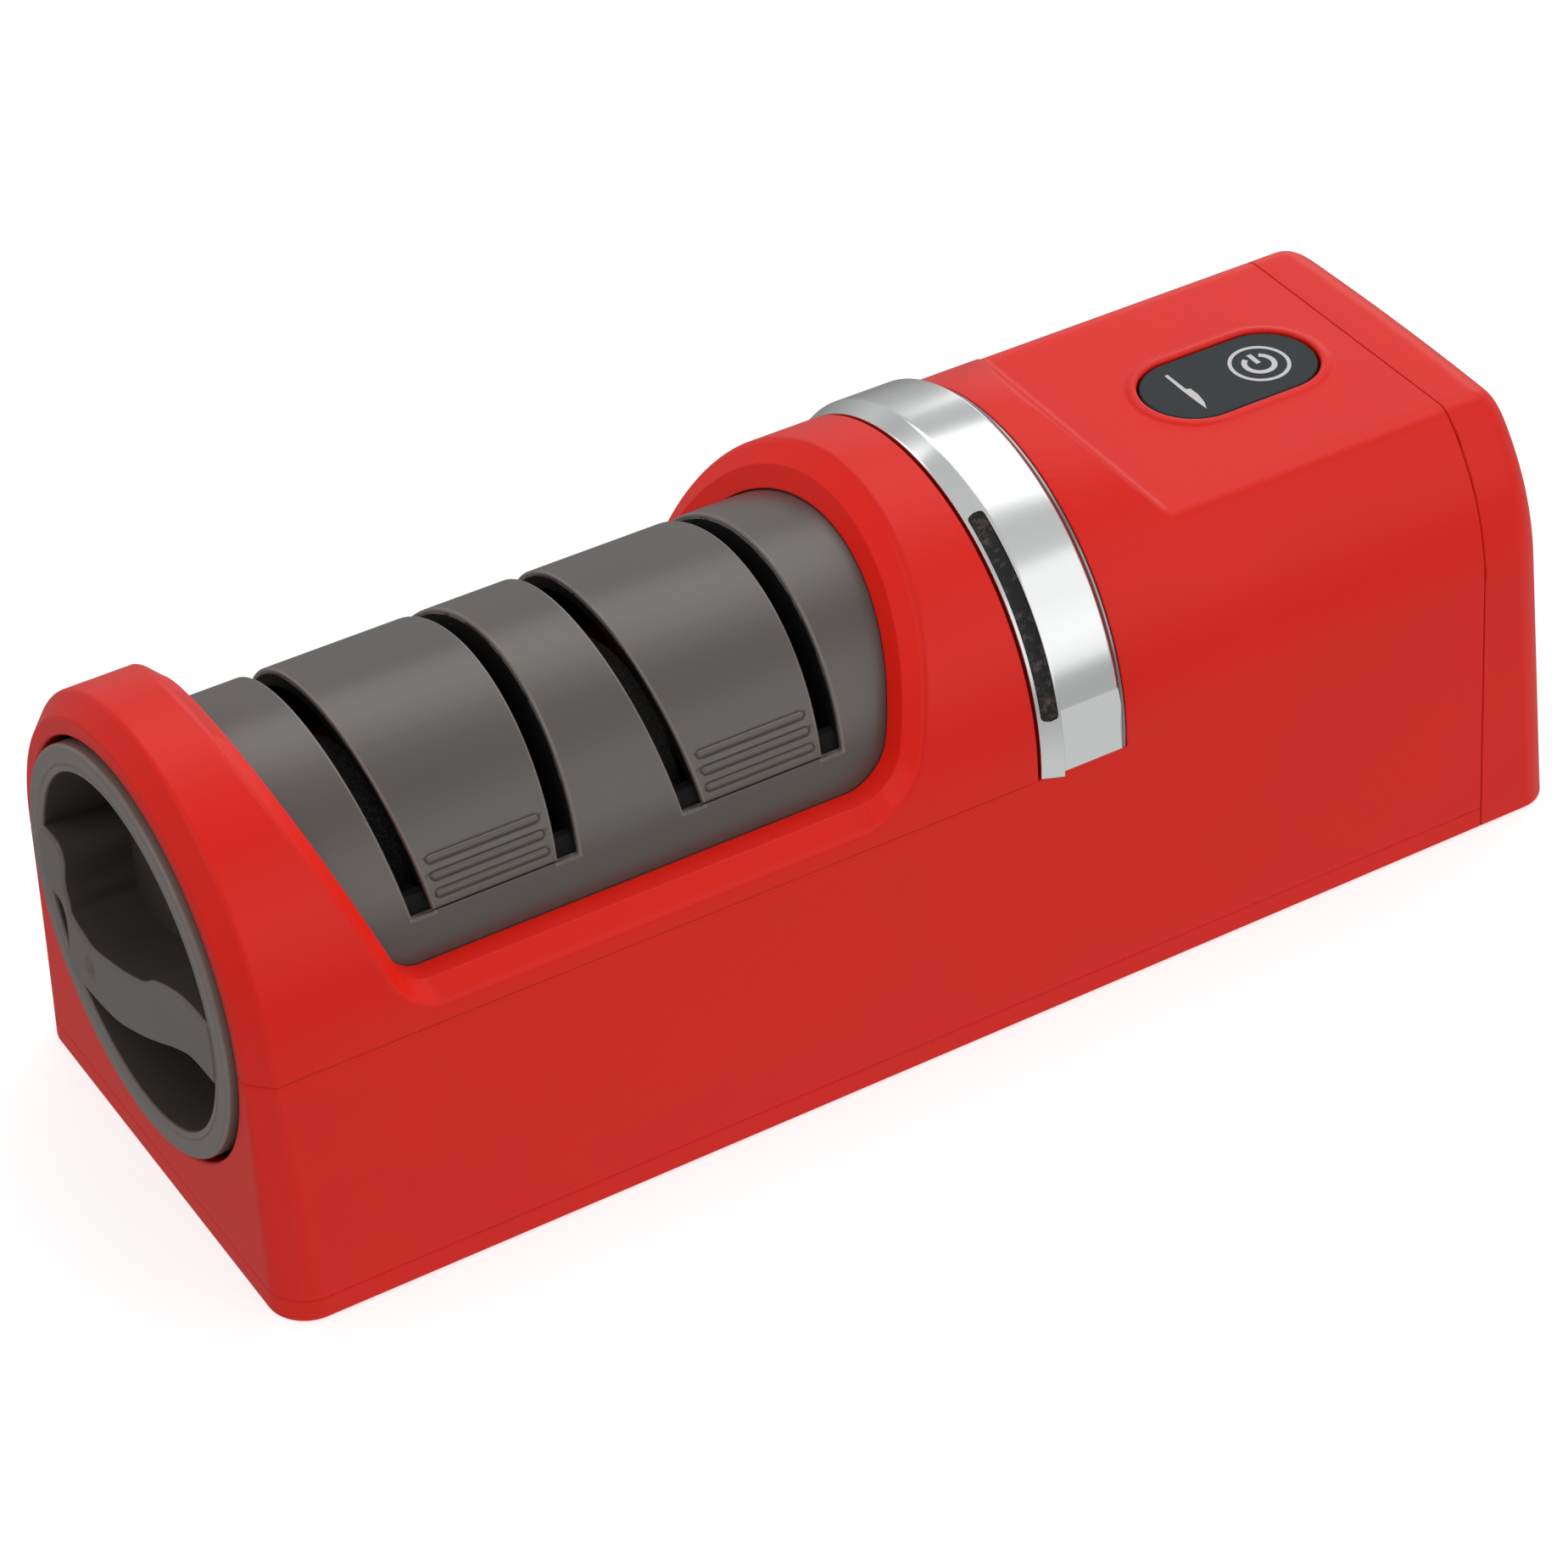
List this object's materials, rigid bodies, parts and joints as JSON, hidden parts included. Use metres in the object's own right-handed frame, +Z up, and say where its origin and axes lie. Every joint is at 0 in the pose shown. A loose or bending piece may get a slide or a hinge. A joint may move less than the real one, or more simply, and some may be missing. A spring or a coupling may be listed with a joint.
{
  "type": "electric knife sharpener",
  "caption": "Cordless electric knife sharpener: red arched casing, slotted grey blade guide over grinding wheels, chrome band, end knob, top power button.",
  "frame": {"origin": "centre of the footprint at the height of the surface the part stands on", "axes": "+X along the body from the end knob to the rear cap, -Y towards the user's side in the picture, +Z up"},
  "size_m": [0.1937, 0.07, 0.0695],
  "materials": {
    "red_casing": "satin moulded ABS",
    "grey_guide": "satin brown-grey ABS",
    "chrome_trim": "bright plated",
    "dark_plastic": "matte",
    "button_plastic": "satin, printed symbols",
    "bright_steel": "machined",
    "tray_steel": "pressed sheet",
    "motor_steel": "plated can",
    "foot_rubber": "matte",
    "coarse_abrasive": "coarse diamond-coated grit",
    "fine_abrasive": "fine ceramic grit",
    "cell_sleeve": "shrink sleeve",
    "board_green": "solder mask"
  },
  "bodies": {
    "casing": {"main_housing": "red_casing", "front_cover": "red_casing", "end_cap": "red_casing", "base_plate": "red_casing", "chrome_band": "chrome_trim", "guide_hood": "grey_guide", "knob_socket": "dark_plastic", "chassis": "dark_plastic", "filings_tray": "tray_steel", "front_bearing": "bright_steel", "rear_bearing": "bright_steel", "motor": "motor_steel", "motor_bracket": "tray_steel", "battery_cell_1": "cell_sleeve", "battery_cell_2": "cell_sleeve", "control_board": "board_green", "tact_switch": "dark_plastic", "charging_inlet": "bright_steel", "chassis_screw_1": "bright_steel", "base_screw_1": "bright_steel", "rubber_foot_1": "foot_rubber", "chassis_screw_2": "bright_steel", "base_screw_2": "bright_steel", "rubber_foot_2": "foot_rubber", "chassis_screw_3": "bright_steel", "base_screw_3": "bright_steel", "rubber_foot_3": "foot_rubber", "chassis_screw_4": "bright_steel", "base_screw_4": "bright_steel", "rubber_foot_4": "foot_rubber", "motor_screw_1": "bright_steel", "motor_screw_2": "bright_steel"},
    "knob": {"end_knob": "grey_guide", "knob_retainer": "bright_steel"},
    "rotor": {"drive_shaft": "bright_steel", "coarse_wheel_left": "coarse_abrasive", "coarse_wheel_right": "coarse_abrasive", "coarse_hub": "dark_plastic", "fine_wheel_left": "fine_abrasive", "fine_wheel_right": "fine_abrasive", "fine_hub": "dark_plastic", "shaft_coupling": "bright_steel", "motor_shaft": "bright_steel"},
    "button": {"power_button": "button_plastic"}
  },
  "joints": [
    {"name": "knob_turn", "type": "hinge", "parent": "casing", "child": "knob", "pos_m": [-0.09579, 0, 0.03585], "axis": [1, 0, 0], "range_deg": [0, 90]},
    {"name": "wheel_spin", "type": "hinge", "parent": "casing", "child": "rotor", "pos_m": [-0.03579, 0, 0.03629], "axis": [1, 0, 0], "continuous": true},
    {"name": "button_press", "type": "slide", "parent": "casing", "child": "button", "axis": [0, 0, -1], "range_m": [0, 0.0008], "stiffness_N_per_m": 1500}
  ]
}
